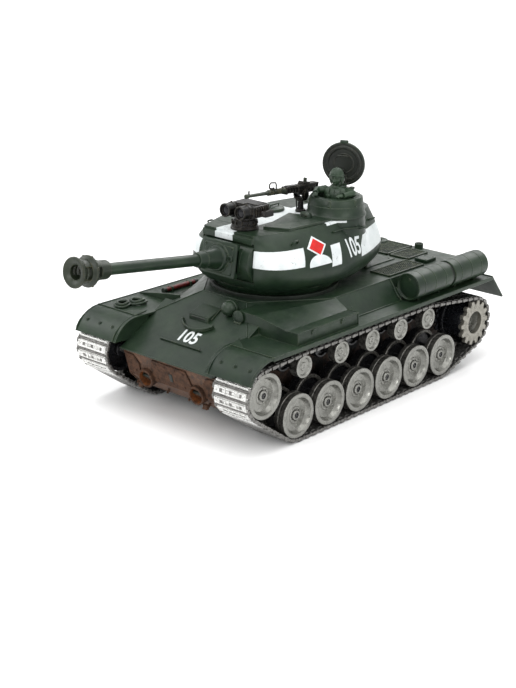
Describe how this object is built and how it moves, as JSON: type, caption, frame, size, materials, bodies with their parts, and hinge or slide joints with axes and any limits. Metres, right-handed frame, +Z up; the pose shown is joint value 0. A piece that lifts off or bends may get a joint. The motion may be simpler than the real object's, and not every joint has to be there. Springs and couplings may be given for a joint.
{
  "type": "rc tank",
  "caption": "Radio-controlled model tank with a turning turret, elevating recoil gun, sprung road wheels, track belts, opening hatches, a commander figure and a roof machine gun.",
  "frame": {"origin": "centre of the bounding box, on the ground under the tracks", "axes": "+Z up, front of the hull toward -Y, the vehicle's left side toward +X"},
  "size_m": [0.1924, 0.4262, 0.207],
  "materials": {
    "green_paint": "satin",
    "fitting_paint": "satin",
    "grille_paint": "satin",
    "track_metal": "satin",
    "steel": "satin",
    "sprocket_metal": "satin",
    "gearbox_metal": "satin",
    "battery_wrap": "gloss",
    "circuit_board": "satin",
    "speaker_black": "matte",
    "gun_black": "satin",
    "figure_paint": "matte",
    "wheel_grey": "satin"
  },
  "bodies": {
    "hull": {"lower_hull": "green_paint", "upper_hull": "green_paint", "track_left": "track_metal", "track_right": "track_metal", "fuel_drums": "green_paint", "hull_fittings": "fitting_paint", "engine_grilles": "grille_paint", "track_axles": "steel", "turret_ring": "green_paint", "drive_units": "gearbox_metal", "battery_pack": "battery_wrap", "control_board": "circuit_board", "speaker": "speaker_black", "smoke_unit": "steel", "hull_screws": "steel"},
    "turret": {"turret_shell": "green_paint", "cupola": "green_paint", "commander_figure": "figure_paint"},
    "mantlet": {"mantlet": "green_paint"},
    "gun": {"gun_barrel": "green_paint", "muzzle_brake": "green_paint"},
    "commander_hatch": {"commander_hatch": "green_paint"},
    "loader_hatch": {"loader_hatch": "green_paint"},
    "mg_pintle": {"mg_pintle": "gun_black"},
    "machine_gun": {"machine_gun": "gun_black"},
    "battle_unit": {"battle_unit": "gun_black"},
    "battery_door": {"battery_door": "green_paint"},
    "power_switch": {"power_switch": "gun_black"},
    "swing_axle_1": {"swing_axle_1": "steel"},
    "swing_axle_2": {"swing_axle_2": "steel"},
    "swing_axle_3": {"swing_axle_3": "steel"},
    "swing_axle_4": {"swing_axle_4": "steel"},
    "swing_axle_5": {"swing_axle_5": "steel"},
    "swing_axle_6": {"swing_axle_6": "steel"},
    "sprocket_left": {"sprocket_left": "sprocket_metal"},
    "idler_left": {"idler_left": "wheel_grey"},
    "road_wheel_left_1": {"road_wheel_left_1": "wheel_grey"},
    "road_wheel_left_2": {"road_wheel_left_2": "wheel_grey"},
    "road_wheel_left_3": {"road_wheel_left_3": "wheel_grey"},
    "road_wheel_left_4": {"road_wheel_left_4": "wheel_grey"},
    "road_wheel_left_5": {"road_wheel_left_5": "wheel_grey"},
    "road_wheel_left_6": {"road_wheel_left_6": "wheel_grey"},
    "return_roller_left_1": {"return_roller_left_1": "wheel_grey"},
    "return_roller_left_2": {"return_roller_left_2": "wheel_grey"},
    "return_roller_left_3": {"return_roller_left_3": "wheel_grey"},
    "return_roller_left_4": {"return_roller_left_4": "wheel_grey"},
    "return_roller_left_5": {"return_roller_left_5": "wheel_grey"},
    "sprocket_right": {"sprocket_right": "sprocket_metal"},
    "idler_right": {"idler_right": "wheel_grey"},
    "road_wheel_right_1": {"road_wheel_right_1": "wheel_grey"},
    "road_wheel_right_2": {"road_wheel_right_2": "wheel_grey"},
    "road_wheel_right_3": {"road_wheel_right_3": "wheel_grey"},
    "road_wheel_right_4": {"road_wheel_right_4": "wheel_grey"},
    "road_wheel_right_5": {"road_wheel_right_5": "wheel_grey"},
    "road_wheel_right_6": {"road_wheel_right_6": "wheel_grey"},
    "return_roller_right_1": {"return_roller_right_1": "wheel_grey"},
    "return_roller_right_2": {"return_roller_right_2": "wheel_grey"},
    "return_roller_right_3": {"return_roller_right_3": "wheel_grey"},
    "return_roller_right_4": {"return_roller_right_4": "wheel_grey"},
    "return_roller_right_5": {"return_roller_right_5": "wheel_grey"}
  },
  "joints": [
    {"name": "turret_turn", "type": "hinge", "parent": "hull", "child": "turret", "pos_m": [0, 0.00832, 0.098], "axis": [0, 0, 1], "range_deg": [-160, 160]},
    {"name": "gun_elevation", "type": "hinge", "parent": "turret", "child": "mantlet", "pos_m": [0, -0.03568, 0.1255], "axis": [-1, 0, 0], "range_deg": [-10.5, 8]},
    {"name": "gun_recoil", "type": "slide", "parent": "mantlet", "child": "gun", "axis": [0, 0.9916, -0.1297], "range_m": [0, 0.01], "stiffness_N_per_m": 100, "springref_m": -0.005},
    {"name": "commander_hatch_hinge", "type": "hinge", "parent": "turret", "child": "commander_hatch", "pos_m": [0.01753, 0.07399, 0.1672], "axis": [0.9107, 0.4131, 0], "range_deg": [-20, 12]},
    {"name": "loader_hatch_hinge", "type": "hinge", "parent": "turret", "child": "loader_hatch", "pos_m": [-0.0366, 0.02632, 0.151], "axis": [0, -1, 0], "range_deg": [0, 110]},
    {"name": "mg_turn", "type": "hinge", "parent": "turret", "child": "mg_pintle", "pos_m": [0.0005, 0.03982, 0.15], "axis": [0, 0, 1], "range_deg": [0, 50]},
    {"name": "mg_pitch", "type": "hinge", "parent": "mg_pintle", "child": "machine_gun", "pos_m": [0.0005, 0.03982, 0.1668], "axis": [-0.9945, -0.1045, 0], "range_deg": [0, 25]},
    {"name": "battle_unit_turn", "type": "hinge", "parent": "turret", "child": "battle_unit", "pos_m": [0.004, -0.03368, 0.15], "axis": [0, 0, 1], "range_deg": [-45, 45]},
    {"name": "battery_door_hinge", "type": "hinge", "parent": "hull", "child": "battery_door", "pos_m": [0, -0.00088, 0.0152], "axis": [-1, 0, 0], "range_deg": [0, 95]},
    {"name": "power_switch_slide", "type": "slide", "parent": "hull", "child": "power_switch", "axis": [0, 1, 0], "range_m": [0, 0.003]},
    {"name": "swing_1", "type": "hinge", "parent": "hull", "child": "swing_axle_1", "pos_m": [0, -0.08098, 0.0265], "axis": [1, 0, 0], "range_deg": [0, 25], "stiffness_Nm_per_rad": 0.02, "springref_deg": -28.65},
    {"name": "swing_2", "type": "hinge", "parent": "hull", "child": "swing_axle_2", "pos_m": [0, -0.04226, 0.0265], "axis": [1, 0, 0], "range_deg": [0, 25], "stiffness_Nm_per_rad": 0.02, "springref_deg": -28.65},
    {"name": "swing_3", "type": "hinge", "parent": "hull", "child": "swing_axle_3", "pos_m": [0, -0.00354, 0.0265], "axis": [1, 0, 0], "range_deg": [0, 25], "stiffness_Nm_per_rad": 0.02, "springref_deg": -28.65},
    {"name": "swing_4", "type": "hinge", "parent": "hull", "child": "swing_axle_4", "pos_m": [0, 0.03518, 0.0265], "axis": [1, 0, 0], "range_deg": [0, 25], "stiffness_Nm_per_rad": 0.02, "springref_deg": -28.65},
    {"name": "swing_5", "type": "hinge", "parent": "hull", "child": "swing_axle_5", "pos_m": [0, 0.0739, 0.0265], "axis": [1, 0, 0], "range_deg": [0, 25], "stiffness_Nm_per_rad": 0.02, "springref_deg": -28.65},
    {"name": "swing_6", "type": "hinge", "parent": "hull", "child": "swing_axle_6", "pos_m": [0, 0.11262, 0.0265], "axis": [1, 0, 0], "range_deg": [0, 25], "stiffness_Nm_per_rad": 0.02, "springref_deg": -28.65},
    {"name": "sprocket_spin_left", "type": "hinge", "parent": "hull", "child": "sprocket_left", "pos_m": [0.08, 0.17352, 0.0403], "axis": [1, 0, 0], "continuous": true},
    {"name": "idler_spin_left", "type": "hinge", "parent": "hull", "child": "idler_left", "pos_m": [0.078, -0.10698, 0.04905], "axis": [1, 0, 0], "continuous": true},
    {"name": "wheel_spin_left_1", "type": "hinge", "parent": "swing_axle_1", "child": "road_wheel_left_1", "pos_m": [0.078, -0.06798, 0.022], "axis": [1, 0, 0], "continuous": true},
    {"name": "wheel_spin_left_2", "type": "hinge", "parent": "swing_axle_2", "child": "road_wheel_left_2", "pos_m": [0.078, -0.02926, 0.022], "axis": [1, 0, 0], "continuous": true},
    {"name": "wheel_spin_left_3", "type": "hinge", "parent": "swing_axle_3", "child": "road_wheel_left_3", "pos_m": [0.078, 0.00946, 0.022], "axis": [1, 0, 0], "continuous": true},
    {"name": "wheel_spin_left_4", "type": "hinge", "parent": "swing_axle_4", "child": "road_wheel_left_4", "pos_m": [0.078, 0.04818, 0.022], "axis": [1, 0, 0], "continuous": true},
    {"name": "wheel_spin_left_5", "type": "hinge", "parent": "swing_axle_5", "child": "road_wheel_left_5", "pos_m": [0.078, 0.0869, 0.022], "axis": [1, 0, 0], "continuous": true},
    {"name": "wheel_spin_left_6", "type": "hinge", "parent": "swing_axle_6", "child": "road_wheel_left_6", "pos_m": [0.078, 0.12562, 0.022], "axis": [1, 0, 0], "continuous": true},
    {"name": "roller_spin_left_1", "type": "hinge", "parent": "hull", "child": "return_roller_left_1", "pos_m": [0.078, -0.06098, 0.0604], "axis": [1, 0, 0], "continuous": true},
    {"name": "roller_spin_left_2", "type": "hinge", "parent": "hull", "child": "return_roller_left_2", "pos_m": [0.078, -0.01488, 0.0604], "axis": [1, 0, 0], "continuous": true},
    {"name": "roller_spin_left_3", "type": "hinge", "parent": "hull", "child": "return_roller_left_3", "pos_m": [0.078, 0.02502, 0.0604], "axis": [1, 0, 0], "continuous": true},
    {"name": "roller_spin_left_4", "type": "hinge", "parent": "hull", "child": "return_roller_left_4", "pos_m": [0.078, 0.06352, 0.0604], "axis": [1, 0, 0], "continuous": true},
    {"name": "roller_spin_left_5", "type": "hinge", "parent": "hull", "child": "return_roller_left_5", "pos_m": [0.078, 0.10272, 0.0604], "axis": [1, 0, 0], "continuous": true},
    {"name": "sprocket_spin_right", "type": "hinge", "parent": "hull", "child": "sprocket_right", "pos_m": [-0.08, 0.17352, 0.0403], "axis": [1, 0, 0], "continuous": true},
    {"name": "idler_spin_right", "type": "hinge", "parent": "hull", "child": "idler_right", "pos_m": [-0.078, -0.10698, 0.04905], "axis": [1, 0, 0], "continuous": true},
    {"name": "wheel_spin_right_1", "type": "hinge", "parent": "swing_axle_1", "child": "road_wheel_right_1", "pos_m": [-0.078, -0.06798, 0.022], "axis": [1, 0, 0], "continuous": true},
    {"name": "wheel_spin_right_2", "type": "hinge", "parent": "swing_axle_2", "child": "road_wheel_right_2", "pos_m": [-0.078, -0.02926, 0.022], "axis": [1, 0, 0], "continuous": true},
    {"name": "wheel_spin_right_3", "type": "hinge", "parent": "swing_axle_3", "child": "road_wheel_right_3", "pos_m": [-0.078, 0.00946, 0.022], "axis": [1, 0, 0], "continuous": true},
    {"name": "wheel_spin_right_4", "type": "hinge", "parent": "swing_axle_4", "child": "road_wheel_right_4", "pos_m": [-0.078, 0.04818, 0.022], "axis": [1, 0, 0], "continuous": true},
    {"name": "wheel_spin_right_5", "type": "hinge", "parent": "swing_axle_5", "child": "road_wheel_right_5", "pos_m": [-0.078, 0.0869, 0.022], "axis": [1, 0, 0], "continuous": true},
    {"name": "wheel_spin_right_6", "type": "hinge", "parent": "swing_axle_6", "child": "road_wheel_right_6", "pos_m": [-0.078, 0.12562, 0.022], "axis": [1, 0, 0], "continuous": true},
    {"name": "roller_spin_right_1", "type": "hinge", "parent": "hull", "child": "return_roller_right_1", "pos_m": [-0.078, -0.06098, 0.0604], "axis": [1, 0, 0], "continuous": true},
    {"name": "roller_spin_right_2", "type": "hinge", "parent": "hull", "child": "return_roller_right_2", "pos_m": [-0.078, -0.01488, 0.0604], "axis": [1, 0, 0], "continuous": true},
    {"name": "roller_spin_right_3", "type": "hinge", "parent": "hull", "child": "return_roller_right_3", "pos_m": [-0.078, 0.02502, 0.0604], "axis": [1, 0, 0], "continuous": true},
    {"name": "roller_spin_right_4", "type": "hinge", "parent": "hull", "child": "return_roller_right_4", "pos_m": [-0.078, 0.06352, 0.0604], "axis": [1, 0, 0], "continuous": true},
    {"name": "roller_spin_right_5", "type": "hinge", "parent": "hull", "child": "return_roller_right_5", "pos_m": [-0.078, 0.10272, 0.0604], "axis": [1, 0, 0], "continuous": true}
  ],
  "couplings": [
    {"joint": "idler_spin_left", "follows": "sprocket_spin_left", "ratio": 1.1123},
    {"joint": "wheel_spin_left_1", "follows": "sprocket_spin_left", "ratio": 1.1183},
    {"joint": "wheel_spin_left_2", "follows": "sprocket_spin_left", "ratio": 1.1183},
    {"joint": "wheel_spin_left_3", "follows": "sprocket_spin_left", "ratio": 1.1183},
    {"joint": "wheel_spin_left_4", "follows": "sprocket_spin_left", "ratio": 1.1183},
    {"joint": "wheel_spin_left_5", "follows": "sprocket_spin_left", "ratio": 1.1183},
    {"joint": "wheel_spin_left_6", "follows": "sprocket_spin_left", "ratio": 1.1183},
    {"joint": "roller_spin_left_1", "follows": "sprocket_spin_left", "ratio": 2.178},
    {"joint": "roller_spin_left_2", "follows": "sprocket_spin_left", "ratio": 2.178},
    {"joint": "roller_spin_left_3", "follows": "sprocket_spin_left", "ratio": 2.178},
    {"joint": "roller_spin_left_4", "follows": "sprocket_spin_left", "ratio": 2.178},
    {"joint": "roller_spin_left_5", "follows": "sprocket_spin_left", "ratio": 2.178},
    {"joint": "idler_spin_right", "follows": "sprocket_spin_right", "ratio": 1.1123},
    {"joint": "wheel_spin_right_1", "follows": "sprocket_spin_right", "ratio": 1.1183},
    {"joint": "wheel_spin_right_2", "follows": "sprocket_spin_right", "ratio": 1.1183},
    {"joint": "wheel_spin_right_3", "follows": "sprocket_spin_right", "ratio": 1.1183},
    {"joint": "wheel_spin_right_4", "follows": "sprocket_spin_right", "ratio": 1.1183},
    {"joint": "wheel_spin_right_5", "follows": "sprocket_spin_right", "ratio": 1.1183},
    {"joint": "wheel_spin_right_6", "follows": "sprocket_spin_right", "ratio": 1.1183},
    {"joint": "roller_spin_right_1", "follows": "sprocket_spin_right", "ratio": 2.178},
    {"joint": "roller_spin_right_2", "follows": "sprocket_spin_right", "ratio": 2.178},
    {"joint": "roller_spin_right_3", "follows": "sprocket_spin_right", "ratio": 2.178},
    {"joint": "roller_spin_right_4", "follows": "sprocket_spin_right", "ratio": 2.178},
    {"joint": "roller_spin_right_5", "follows": "sprocket_spin_right", "ratio": 2.178}
  ]
}
